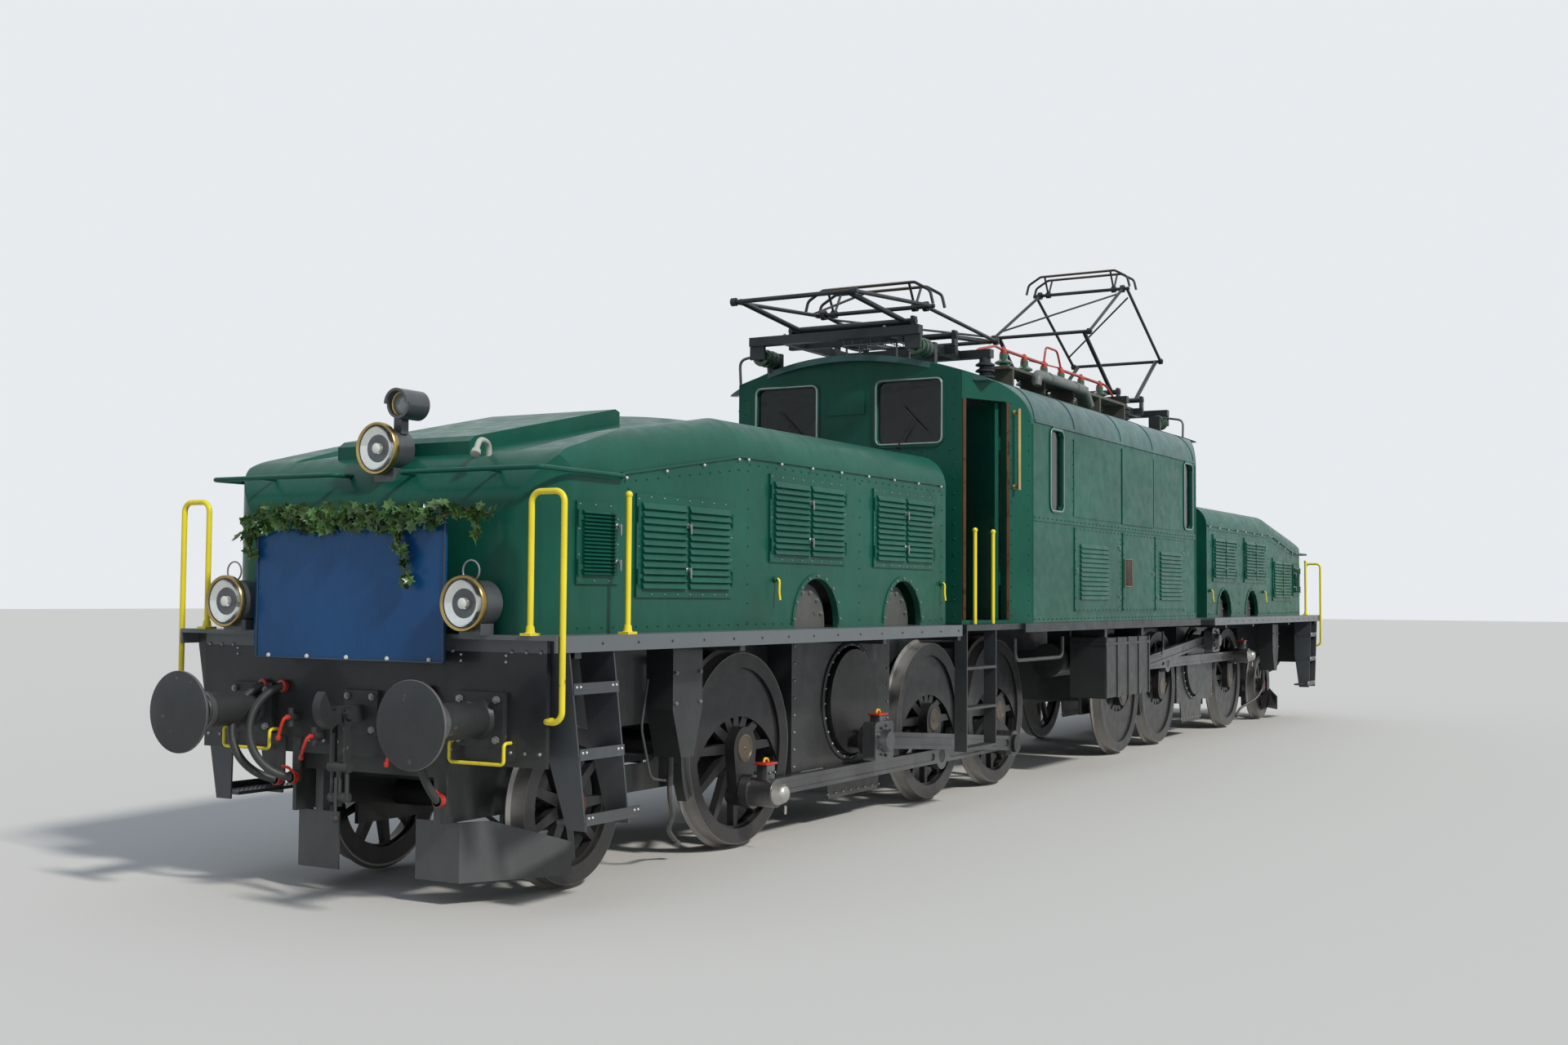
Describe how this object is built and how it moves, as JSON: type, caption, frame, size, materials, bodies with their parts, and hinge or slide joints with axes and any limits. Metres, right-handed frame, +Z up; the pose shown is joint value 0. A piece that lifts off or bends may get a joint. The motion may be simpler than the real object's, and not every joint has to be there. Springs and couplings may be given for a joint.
{
  "type": "rod-drive electric locomotive",
  "caption": "Hooded rod-drive electric locomotive: a centre body with two pantographs between two long-hood driving bogies that turn under it.",
  "frame": {"origin": "on the floor under the middle of the body, at the bottom of the wheel flanges", "axes": "+X along the track towards the rear end, the board end is at -X; +Y to the locomotive's far side; +Z up"},
  "size_m": [20.06, 3.008, 5.7708],
  "materials": {
    "green_body": "glossy dark green paint",
    "grey_frame": "dusty dark grey paint",
    "wheel_steel": "grimy cast steel",
    "rod_steel": "oiled bare steel",
    "roof_green": "dark green roof paint",
    "pantograph_steel": "dark steel, grimy",
    "rail_yellow": "chipped yellow paint",
    "pane": "dusty glass",
    "board_wood": "painted boards, worn",
    "insulator_green": "glazed ceramic, green",
    "brass_rail": "dull brass",
    "bus_red": "red paint, faded",
    "board_blue": "blue sheet metal",
    "motor_black": "black housing",
    "lamp_grey": "grey paint",
    "cab_cream": "cream interior paint"
  },
  "bodies": {
    "body": {"body_shell": "green_body", "roof": "roof_green", "window_glass": "pane", "underframe": "grey_frame", "cab_posts": "rail_yellow", "cab_handrails": "brass_rail", "transformer": "motor_black", "cab_fittings": "cab_cream", "roof_boards": "board_wood", "roof_insulators": "insulator_green", "roof_busbars": "bus_red", "front_pantograph_base": "pantograph_steel", "rear_pantograph_base": "pantograph_steel"},
    "front_bogie": {"front_bogie_frame": "grey_frame", "front_hood": "green_body", "front_hood_louvres": "green_body", "front_motors": "motor_black", "front_buffing_gear": "grey_frame", "front_headlamps": "lamp_grey", "front_yellow_rails": "rail_yellow", "front_steps_and_guards": "grey_frame", "headboard": "board_blue"},
    "front_carrying_axle": {"front_carrying_wheels": "wheel_steel"},
    "front_drive_axle_1": {"front_drive_wheels_1": "wheel_steel"},
    "front_drive_axle_2": {"front_drive_wheels_2": "wheel_steel"},
    "front_drive_axle_3": {"front_drive_wheels_3": "wheel_steel"},
    "front_jackshaft": {"front_jackshaft": "wheel_steel"},
    "front_coupling_rod_right": {"front_coupling_rod_right": "rod_steel"},
    "front_main_rod_right": {"front_main_rod_right": "rod_steel"},
    "front_coupling_rod_left": {"front_coupling_rod_left": "rod_steel"},
    "front_main_rod_left": {"front_main_rod_left": "rod_steel"},
    "front_door": {"front_cab_door": "green_body"},
    "front_lower_arm_outer": {"front_lower_arm_outer": "pantograph_steel"},
    "front_lower_arm_inner": {"front_lower_arm_inner": "pantograph_steel"},
    "front_upper_arm_outer": {"front_upper_arm_outer": "pantograph_steel"},
    "front_upper_arm_inner": {"front_upper_arm_inner": "pantograph_steel"},
    "front_pantograph_head": {"front_pantograph_head": "pantograph_steel"},
    "rear_bogie": {"rear_bogie_frame": "grey_frame", "rear_hood": "green_body", "rear_hood_louvres": "green_body", "rear_motors": "motor_black", "rear_buffing_gear": "grey_frame", "rear_headlamps": "lamp_grey", "rear_yellow_rails": "rail_yellow", "rear_steps_and_guards": "grey_frame"},
    "rear_carrying_axle": {"rear_carrying_wheels": "wheel_steel"},
    "rear_drive_axle_1": {"rear_drive_wheels_1": "wheel_steel"},
    "rear_drive_axle_2": {"rear_drive_wheels_2": "wheel_steel"},
    "rear_drive_axle_3": {"rear_drive_wheels_3": "wheel_steel"},
    "rear_jackshaft": {"rear_jackshaft": "wheel_steel"},
    "rear_coupling_rod_right": {"rear_coupling_rod_right": "rod_steel"},
    "rear_main_rod_right": {"rear_main_rod_right": "rod_steel"},
    "rear_coupling_rod_left": {"rear_coupling_rod_left": "rod_steel"},
    "rear_main_rod_left": {"rear_main_rod_left": "rod_steel"},
    "rear_door": {"rear_cab_door": "green_body"},
    "rear_lower_arm_outer": {"rear_lower_arm_outer": "pantograph_steel"},
    "rear_lower_arm_inner": {"rear_lower_arm_inner": "pantograph_steel"},
    "rear_upper_arm_outer": {"rear_upper_arm_outer": "pantograph_steel"},
    "rear_upper_arm_inner": {"rear_upper_arm_inner": "pantograph_steel"},
    "rear_pantograph_head": {"rear_pantograph_head": "pantograph_steel"}
  },
  "joints": [
    {"name": "front_bogie_turn", "type": "hinge", "parent": "body", "child": "front_bogie", "pos_m": [-2.6, 0, 1.408], "axis": [0, 0, 1], "range_deg": [-3, 3]},
    {"name": "front_carrying_axle_roll", "type": "hinge", "parent": "front_bogie", "child": "front_carrying_axle", "pos_m": [-8.5, 0, 0.503], "axis": [0, 1, 0], "continuous": true},
    {"name": "front_drive_axle_1_roll", "type": "hinge", "parent": "front_bogie", "child": "front_drive_axle_1", "pos_m": [-6.55, 0, 0.703], "axis": [0, 1, 0], "continuous": true},
    {"name": "front_drive_axle_2_roll", "type": "hinge", "parent": "front_bogie", "child": "front_drive_axle_2", "pos_m": [-3.35, 0, 0.703], "axis": [0, 1, 0], "continuous": true},
    {"name": "front_drive_axle_3_roll", "type": "hinge", "parent": "front_bogie", "child": "front_drive_axle_3", "pos_m": [-1.85, 0, 0.703], "axis": [0, 1, 0], "continuous": true},
    {"name": "front_jackshaft_roll", "type": "hinge", "parent": "front_bogie", "child": "front_jackshaft", "pos_m": [-4.86, 0, 0.948], "axis": [0, 1, 0], "continuous": true},
    {"name": "front_coupling_rod_right_pin", "type": "hinge", "parent": "front_drive_axle_2", "child": "front_coupling_rod_right", "pos_m": [-3.35, -0.892, 0.403], "axis": [0, 1, 0], "continuous": true},
    {"name": "front_main_rod_right_pin", "type": "hinge", "parent": "front_jackshaft", "child": "front_main_rod_right", "pos_m": [-4.86, -0.967, 0.648], "axis": [0, 1, 0], "continuous": true},
    {"name": "front_coupling_rod_left_pin", "type": "hinge", "parent": "front_drive_axle_2", "child": "front_coupling_rod_left", "pos_m": [-3.65, 0.892, 0.703], "axis": [0, 1, 0], "continuous": true},
    {"name": "front_main_rod_left_pin", "type": "hinge", "parent": "front_jackshaft", "child": "front_main_rod_left", "pos_m": [-5.16, 0.967, 0.948], "axis": [0, 1, 0], "continuous": true},
    {"name": "front_door_hinge", "type": "hinge", "parent": "body", "child": "front_door", "pos_m": [-2.9075, -1.2773, 2.5], "axis": [0, 0, 1], "range_deg": [0, 96]},
    {"name": "front_pantograph_lift", "type": "hinge", "parent": "body", "child": "front_lower_arm_outer", "pos_m": [-3.3, 0, 4.228], "axis": [0, 1, 0], "range_deg": [0, 40]},
    {"name": "front_lower_inner_foot", "type": "hinge", "parent": "body", "child": "front_lower_arm_inner", "pos_m": [-2.4, 0, 4.228], "axis": [0, 1, 0], "range_deg": [-40, 0]},
    {"name": "front_upper_outer_knee", "type": "hinge", "parent": "front_lower_arm_outer", "child": "front_upper_arm_outer", "pos_m": [-4.39581, 0, 4.32387], "axis": [0, 1, 0], "range_deg": [-73.54, 0]},
    {"name": "front_upper_inner_knee", "type": "hinge", "parent": "front_lower_arm_inner", "child": "front_upper_arm_inner", "pos_m": [-1.30419, 0, 4.32387], "axis": [0, 1, 0], "range_deg": [0, 73.54]},
    {"name": "front_head_apex", "type": "hinge", "parent": "front_upper_arm_outer", "child": "front_pantograph_head", "pos_m": [-2.85, 0, 4.43719], "axis": [0, 1, 0], "range_deg": [0, 33.54]},
    {"name": "rear_bogie_turn", "type": "hinge", "parent": "body", "child": "rear_bogie", "pos_m": [2.6, 0, 1.408], "axis": [0, 0, 1], "range_deg": [-3, 3]},
    {"name": "rear_carrying_axle_roll", "type": "hinge", "parent": "rear_bogie", "child": "rear_carrying_axle", "pos_m": [8.5, 0, 0.503], "axis": [0, 1, 0], "continuous": true},
    {"name": "rear_drive_axle_1_roll", "type": "hinge", "parent": "rear_bogie", "child": "rear_drive_axle_1", "pos_m": [6.55, 0, 0.703], "axis": [0, 1, 0], "continuous": true},
    {"name": "rear_drive_axle_2_roll", "type": "hinge", "parent": "rear_bogie", "child": "rear_drive_axle_2", "pos_m": [3.35, 0, 0.703], "axis": [0, 1, 0], "continuous": true},
    {"name": "rear_drive_axle_3_roll", "type": "hinge", "parent": "rear_bogie", "child": "rear_drive_axle_3", "pos_m": [1.85, 0, 0.703], "axis": [0, 1, 0], "continuous": true},
    {"name": "rear_jackshaft_roll", "type": "hinge", "parent": "rear_bogie", "child": "rear_jackshaft", "pos_m": [4.86, 0, 0.948], "axis": [0, 1, 0], "continuous": true},
    {"name": "rear_coupling_rod_right_pin", "type": "hinge", "parent": "rear_drive_axle_2", "child": "rear_coupling_rod_right", "pos_m": [3.35, -0.892, 1.003], "axis": [0, 1, 0], "continuous": true},
    {"name": "rear_main_rod_right_pin", "type": "hinge", "parent": "rear_jackshaft", "child": "rear_main_rod_right", "pos_m": [4.86, -0.967, 1.248], "axis": [0, 1, 0], "continuous": true},
    {"name": "rear_coupling_rod_left_pin", "type": "hinge", "parent": "rear_drive_axle_2", "child": "rear_coupling_rod_left", "pos_m": [3.65, 0.892, 0.703], "axis": [0, 1, 0], "continuous": true},
    {"name": "rear_main_rod_left_pin", "type": "hinge", "parent": "rear_jackshaft", "child": "rear_main_rod_left", "pos_m": [5.16, 0.967, 0.948], "axis": [0, 1, 0], "continuous": true},
    {"name": "rear_door_hinge", "type": "hinge", "parent": "body", "child": "rear_door", "pos_m": [2.9075, 1.2773, 2.5], "axis": [0, 0, 1], "range_deg": [-96, 0]},
    {"name": "rear_pantograph_lift", "type": "hinge", "parent": "body", "child": "rear_lower_arm_outer", "pos_m": [3.3, 0, 4.228], "axis": [0, -1, 0], "range_deg": [-28, 12]},
    {"name": "rear_lower_inner_foot", "type": "hinge", "parent": "body", "child": "rear_lower_arm_inner", "pos_m": [2.4, 0, 4.228], "axis": [0, -1, 0], "range_deg": [-12, 28]},
    {"name": "rear_upper_outer_knee", "type": "hinge", "parent": "rear_lower_arm_outer", "child": "rear_upper_arm_outer", "pos_m": [4.22254, 0, 4.8271], "axis": [0, -1, 0], "range_deg": [-22.06, 51.48]},
    {"name": "rear_upper_inner_knee", "type": "hinge", "parent": "rear_lower_arm_inner", "child": "rear_upper_arm_inner", "pos_m": [1.47746, 0, 4.8271], "axis": [0, -1, 0], "range_deg": [-51.48, 22.06]},
    {"name": "rear_head_apex", "type": "hinge", "parent": "rear_upper_arm_outer", "child": "rear_pantograph_head", "pos_m": [2.85, 0, 5.5469], "axis": [0, -1, 0], "range_deg": [-23.48, 10.06]}
  ],
  "couplings": [
    {"joint": "front_drive_axle_1_roll", "follows": "front_drive_axle_2_roll", "ratio": 1},
    {"joint": "front_drive_axle_3_roll", "follows": "front_drive_axle_2_roll", "ratio": 1},
    {"joint": "front_jackshaft_roll", "follows": "front_drive_axle_2_roll", "ratio": 1},
    {"joint": "front_coupling_rod_right_pin", "follows": "front_drive_axle_2_roll", "ratio": -1},
    {"joint": "front_main_rod_right_pin", "follows": "front_drive_axle_2_roll", "ratio": -1},
    {"joint": "front_coupling_rod_left_pin", "follows": "front_drive_axle_2_roll", "ratio": -1},
    {"joint": "front_main_rod_left_pin", "follows": "front_drive_axle_2_roll", "ratio": -1},
    {"joint": "front_lower_inner_foot", "follows": "front_pantograph_lift", "ratio": -1},
    {"joint": "front_upper_outer_knee", "follows": "front_pantograph_lift", "ratio": -1.8385},
    {"joint": "front_upper_inner_knee", "follows": "front_pantograph_lift", "ratio": 1.8385},
    {"joint": "front_head_apex", "follows": "front_pantograph_lift", "ratio": 0.8385},
    {"joint": "rear_drive_axle_1_roll", "follows": "rear_drive_axle_2_roll", "ratio": 1},
    {"joint": "rear_drive_axle_3_roll", "follows": "rear_drive_axle_2_roll", "ratio": 1},
    {"joint": "rear_jackshaft_roll", "follows": "rear_drive_axle_2_roll", "ratio": 1},
    {"joint": "rear_coupling_rod_right_pin", "follows": "rear_drive_axle_2_roll", "ratio": -1},
    {"joint": "rear_main_rod_right_pin", "follows": "rear_drive_axle_2_roll", "ratio": -1},
    {"joint": "rear_coupling_rod_left_pin", "follows": "rear_drive_axle_2_roll", "ratio": -1},
    {"joint": "rear_main_rod_left_pin", "follows": "rear_drive_axle_2_roll", "ratio": -1},
    {"joint": "rear_lower_inner_foot", "follows": "rear_pantograph_lift", "ratio": -1},
    {"joint": "rear_upper_outer_knee", "follows": "rear_pantograph_lift", "ratio": -1.8385},
    {"joint": "rear_upper_inner_knee", "follows": "rear_pantograph_lift", "ratio": 1.8385},
    {"joint": "rear_head_apex", "follows": "rear_pantograph_lift", "ratio": 0.8385}
  ]
}
